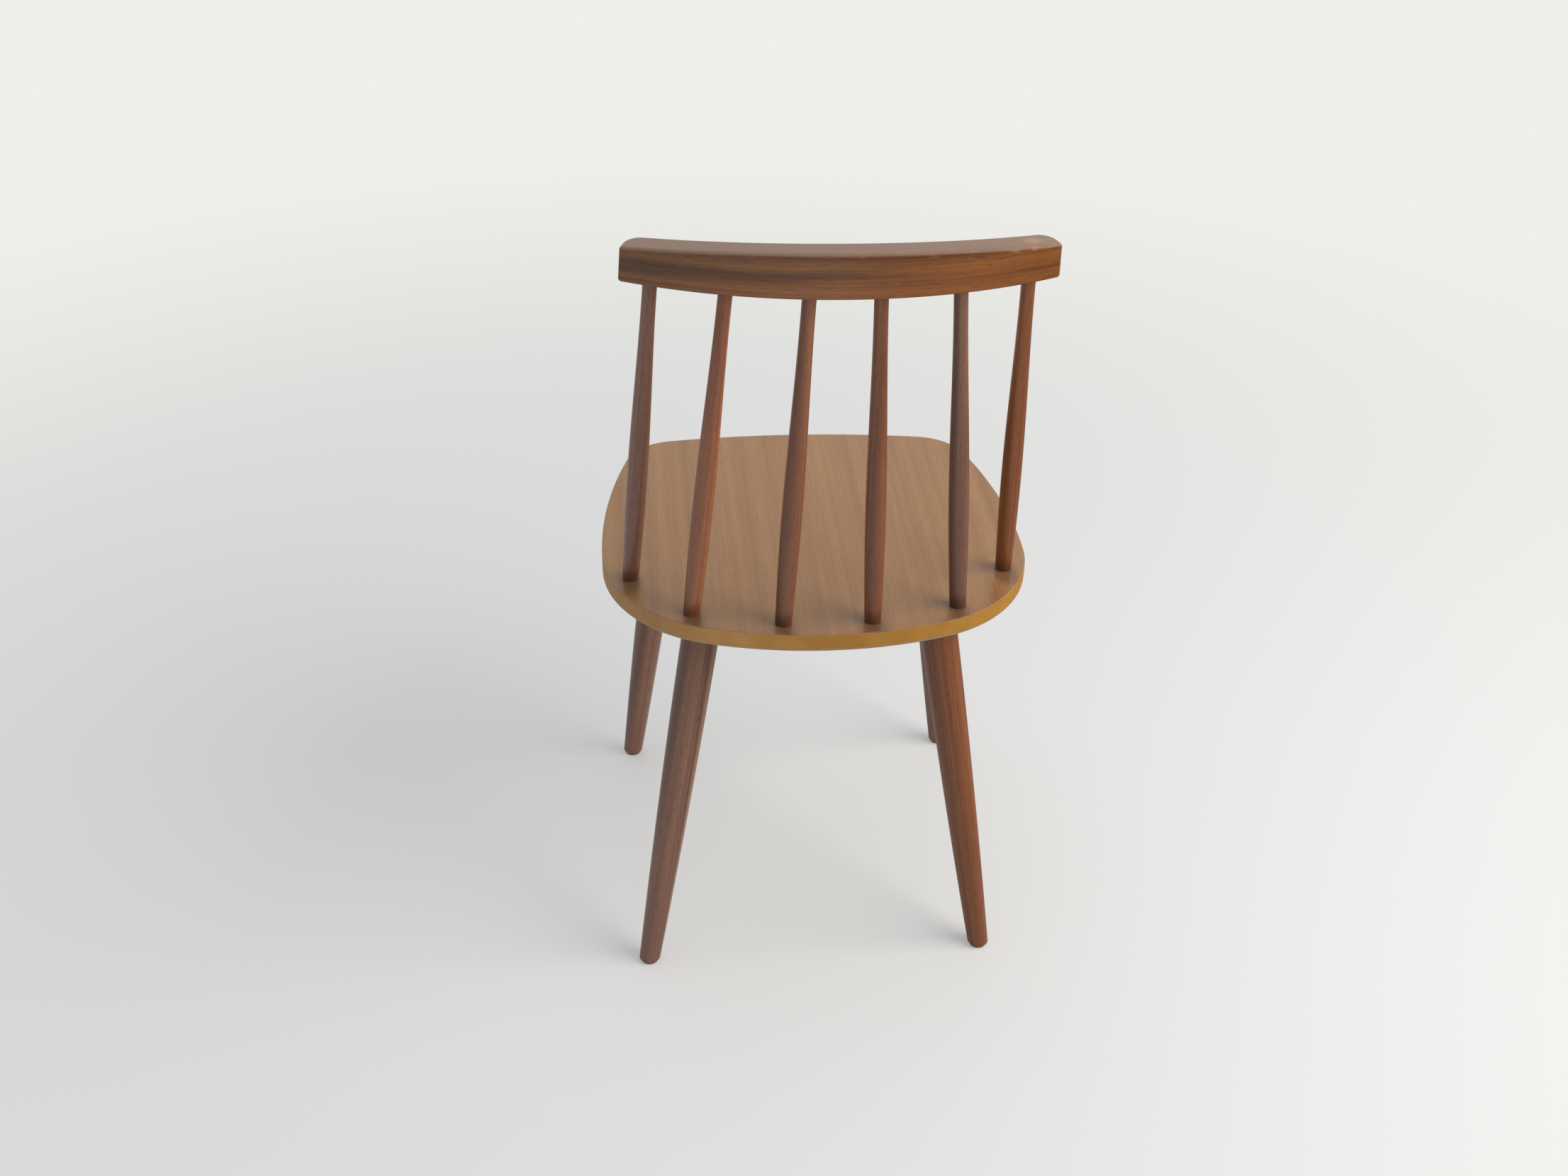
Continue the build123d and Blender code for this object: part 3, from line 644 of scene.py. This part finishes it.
# Painted light and shade: the left end is darker and towards the right the wood is more orange, for light
# from the right and less sheen there
left_end = 180 * millimetre
right_end = -200 * millimetre
rightward = add(tree, "ShaderNodeMapRange", {0: along.outputs[0], 1: left_end, 2: right_end})
rail_side_light = add(tree, "ShaderNodeValToRGB", {"Fac": rightward.outputs[0]},
             stops=[(0.03, "#E3E3E3"), (0.24, "#F0F0F0"), (0.45, "#FFFFFF"),
                    (0.55, "#FAEFD6"), (0.76, "#FBE9AE"), (0.93, "#EAD464")])
rail_side_lit = add(tree, "ShaderNodeMix", {0: 1.0, 6: streaked.outputs[2], 7: rail_side_light.outputs[0]},
             data_type="RGBA", blend_type="MULTIPLY")

# Painted reflection: the top is paler and greyer, standing in for the pale room mirrored in its lacquer
top_sheen_depth = 3 * millimetre
top_sheen_full_depth = 1 * millimetre
top_sheen_share = 0.75
sag = add(tree, "ShaderNodeMath", {0: spread.outputs["X"], 1: spread.outputs["X"]},
          operation="MULTIPLY")
sag = add(tree, "ShaderNodeMath", {0: sag.outputs[0], 1: 2 * rail_crown_radius}, operation="DIVIDE")
from_top = add(tree, "ShaderNodeMath", {0: rail_height, 1: rise.outputs[0]}, operation="SUBTRACT")
from_top = add(tree, "ShaderNodeMath", {0: from_top.outputs[0], 1: sag.outputs[0]},
               operation="SUBTRACT")
on_top = add(tree, "ShaderNodeMapRange",
             {0: from_top.outputs[0], 1: top_sheen_depth, 2: top_sheen_full_depth, 4: top_sheen_share})
top_sheened = add(tree, "ShaderNodeMix",
               {0: on_top.outputs[0], 6: rail_side_lit.outputs[2], 7: linear("#8C7262")}, data_type="RGBA")

# Its back arris is rubbed pale in places, more so towards the right
arris_edge = 6 * millimetre
arris_middle = 2 * millimetre
rub_size = (5 * millimetre, 5 * millimetre, 12 * millimetre)
rub_rim, rub_middle = 0.55, 0.72
less_handled = 60 * millimetre
more_handled = -40 * millimetre
least_rubbed, most_rubbed = 0.1, 0.5
from_back = add(tree, "ShaderNodeMath", {0: rail_half_thickness, 1: depth.outputs[0]},
                operation="SUBTRACT")
off_arris = add(tree, "ShaderNodeMath", {0: from_top.outputs[0], 1: from_back.outputs[0]})
near_arris = add(tree, "ShaderNodeMapRange", {0: off_arris.outputs[0], 1: arris_edge, 2: arris_middle})
rubs = add(tree, "ShaderNodeMapping", {"Vector": grain.outputs[0], "Scale": rub_size},
           vector_type="TEXTURE")
rub = add(tree, "ShaderNodeTexNoise", {"Vector": rubs.outputs[0], "Scale": 1.0, "Detail": 3.0})
rubbed = add(tree, "ShaderNodeMapRange", {0: rub.outputs["Fac"], 1: rub_rim, 2: rub_middle})
rubbed = add(tree, "ShaderNodeMath", {0: rubbed.outputs[0], 1: near_arris.outputs[0]},
             operation="MULTIPLY")
handled = add(tree, "ShaderNodeMapRange", {0: along.outputs[0], 1: less_handled, 2: more_handled,
                                           3: least_rubbed, 4: most_rubbed})
rubbed = add(tree, "ShaderNodeMath", {0: rubbed.outputs[0], 1: handled.outputs[0]},
             operation="MULTIPLY")

# A ragged spot on the top near the right end is worn through to paler wood
spot_from_middle = 172 * millimetre
spot_size = (11 * millimetre, 8 * millimetre, 4 * millimetre)
spot_raggedness = 0.8
spot_rim, spot_middle = 1.5, 0.8
spot_share = 0.6
spot_along = add(tree, "ShaderNodeMath", {0: along.outputs[0], 1: spot_from_middle})
spot_place = add(tree, "ShaderNodeCombineXYZ",
                 {0: spot_along.outputs[0], 1: depth.outputs[0], 2: from_top.outputs[0]})
spot_scaled = add(tree, "ShaderNodeMapping", {"Vector": spot_place.outputs[0], "Scale": spot_size},
                  vector_type="TEXTURE")
spot_reach = add(tree, "ShaderNodeVectorMath", {0: spot_scaled.outputs[0]}, operation="LENGTH")
ragged = add(tree, "ShaderNodeMath",
             {0: rub.outputs["Fac"], 1: spot_raggedness, 2: spot_reach.outputs["Value"]},
             operation="MULTIPLY_ADD")
spot = add(tree, "ShaderNodeMapRange",
           {0: ragged.outputs[0], 1: spot_rim, 2: spot_middle, 4: spot_share})
wear = add(tree, "ShaderNodeMath", {0: rubbed.outputs[0], 1: spot.outputs[0]}, operation="MAXIMUM")
wear_and_sheen = add(tree, "ShaderNodeMix", {0: wear.outputs[0], 6: top_sheened.outputs[2], 7: linear("#B08A66")},
           data_type="RGBA")
tree.links.new(wear_and_sheen.outputs[2], shader.inputs["Base Color"])
give_finish(rail_finish, "crest_rail")

# Studio: a plain pale floor that fades into a pale room, soft light that is stronger from the right,
# and the photograph's camera.
floor_radius = 9
floor_sides = 96
turns = np.arange(floor_sides) * 2 * math.pi / floor_sides
rim = [(floor_radius * math.cos(turn), floor_radius * math.sin(turn), 0) for turn in turns]
floor_mesh = bpy.data.meshes.new("floor")
floor_mesh.from_pydata(rim, [], [list(range(len(rim)))])
floor = bpy.data.objects.new("floor", floor_mesh)
bpy.context.scene.collection.objects.link(floor)
floor_finish, tree, shader = new_finish("pale_floor")
shader.inputs["Roughness"].default_value = 0.6

# The floor fades to the tone of the room with its distance from the chair; near the chair three tenths of
# what is seen is this painted glow, which pales the shadows there
fading_starts, fading_ends = 0.5, 2.6
least_faded = 0.3
place = add(tree, "ShaderNodeTexCoord")
away = add(tree, "ShaderNodeVectorMath", {0: place.outputs["Object"]}, operation="LENGTH")
far = add(tree, "ShaderNodeMapRange",
          {0: away.outputs["Value"], 1: fading_starts, 2: fading_ends, 3: least_faded},
          interpolation_type="SMOOTHSTEP")
ray = add(tree, "ShaderNodeLightPath")
seen_far = add(tree, "ShaderNodeMath", {0: far.outputs[0], 1: ray.outputs["Is Camera Ray"]},
               operation="MULTIPLY")

# Glossy legs and spindles mirror a darker floor on the right
dark_starts, dark_full = 0.1, -0.5
dark_share = 0.8
spread = add(tree, "ShaderNodeSeparateXYZ", {0: place.outputs["Object"]})
rightward = add(tree, "ShaderNodeMapRange",
                {0: spread.outputs["X"], 1: dark_starts, 2: dark_full, 4: dark_share})
mirrored = add(tree, "ShaderNodeMath", {0: rightward.outputs[0], 1: ray.outputs["Is Glossy Ray"]},
               operation="MULTIPLY")
floor_tone = add(tree, "ShaderNodeMix", {0: mirrored.outputs[0], 6: linear("#E2E4E6"),
                                         7: linear("#3A342E")}, data_type="RGBA")
tree.links.new(floor_tone.outputs[2], shader.inputs["Base Color"])
floor_glow = add(tree, "ShaderNodeEmission", {"Color": linear("#F0EFEA")})
faded = add(tree, "ShaderNodeMixShader",
            {0: seen_far.outputs[0], 1: shader.outputs[0], 2: floor_glow.outputs[0]})
tree.links.new(faded.outputs[0], tree.nodes["Material Output"].inputs["Surface"])
floor_mesh.materials.append(floor_finish)

# The room is seen and mirrored at full strength, and lights the chair at half of it
lighting_strength, seen_strength = 0.50, 1.0
room_tone = linear("#F0EEE7")
world = bpy.data.worlds.new("soft_room")
bpy.context.scene.world = world
world.use_nodes = True
tree = world.node_tree
ray = add(tree, "ShaderNodeLightPath")
shown = add(tree, "ShaderNodeMath", {0: ray.outputs["Is Camera Ray"], 1: ray.outputs["Is Glossy Ray"]},
            operation="MAXIMUM")
shown = add(tree, "ShaderNodeMath", {0: shown.outputs[0], 1: ray.outputs["Is Transmission Ray"]},
            operation="MAXIMUM")
strength = add(tree, "ShaderNodeMapRange",
               {0: shown.outputs[0], 3: lighting_strength, 4: seen_strength})
sky = add(tree, "ShaderNodeMix", {0: shown.outputs[0], 6: linear("#E4ECF6"), 7: room_tone},
          data_type="RGBA")
room = tree.nodes["Background"]
tree.links.new(sky.outputs[2], room.inputs["Color"])
tree.links.new(strength.outputs[0], room.inputs["Strength"])


def lamp(name, place, target, size, power, colour):
    """A soft square lamp at a place, aimed at a target."""
    light = bpy.data.lights.new(name, "AREA")
    light.size = size
    light.energy = power
    light.color = linear(colour)[:3]
    holder = bpy.data.objects.new(name, light)
    holder.location = place
    aim = Vector(target) - Vector(place)
    holder.rotation_mode = "QUATERNION"
    holder.rotation_quaternion = aim.to_track_quat("-Z", "Y")
    holder.visible_camera = False
    holder.visible_glossy = False
    bpy.context.scene.collection.objects.link(holder)


chair_middle = (0, 0, 0.4)
lamp("window_light", (-2.5, 1.1, 2.0), chair_middle, size=2.8, power=116, colour="#FFF6EC")
lamp("ceiling_light", (0.2, -0.3, 3.0), chair_middle, size=1.8, power=6, colour="#FFFFFF")

# The camera stands where the photograph's did, in metres and radians, and keeps its frame in pixels
photo_width, photo_height = 2212, 1659
camera_place = (0.191202, 1.693636, 1.451080)
camera_yaw, camera_pitch, camera_roll = 3.27477, 0.57217, 0.04347
camera_focal_pixels = 2625.134
picture_centre = (1187.579, 850.342)
forward = Vector((math.sin(camera_yaw) * math.cos(camera_pitch),
                  math.cos(camera_yaw) * math.cos(camera_pitch), -math.sin(camera_pitch)))
level_right = Vector((math.cos(camera_yaw), -math.sin(camera_yaw), 0))
level_up = level_right.cross(forward)
right = math.cos(camera_roll) * level_right + math.sin(camera_roll) * level_up
up = math.cos(camera_roll) * level_up - math.sin(camera_roll) * level_right
eye = bpy.data.cameras.new("photo_camera")
eye.sensor_width = 36
eye.lens = eye.sensor_width * camera_focal_pixels / photo_width
eye.shift_x = (photo_width / 2 - picture_centre[0]) / photo_width
eye.shift_y = (picture_centre[1] - photo_height / 2) / photo_width
camera = bpy.data.objects.new("photo_camera", eye)
camera.matrix_world = Matrix((right, up, -forward)).transposed().to_4x4()
camera.location = camera_place
bpy.context.scene.collection.objects.link(camera)
bpy.context.scene.camera = camera
bpy.context.scene.view_settings.view_transform = "Standard"
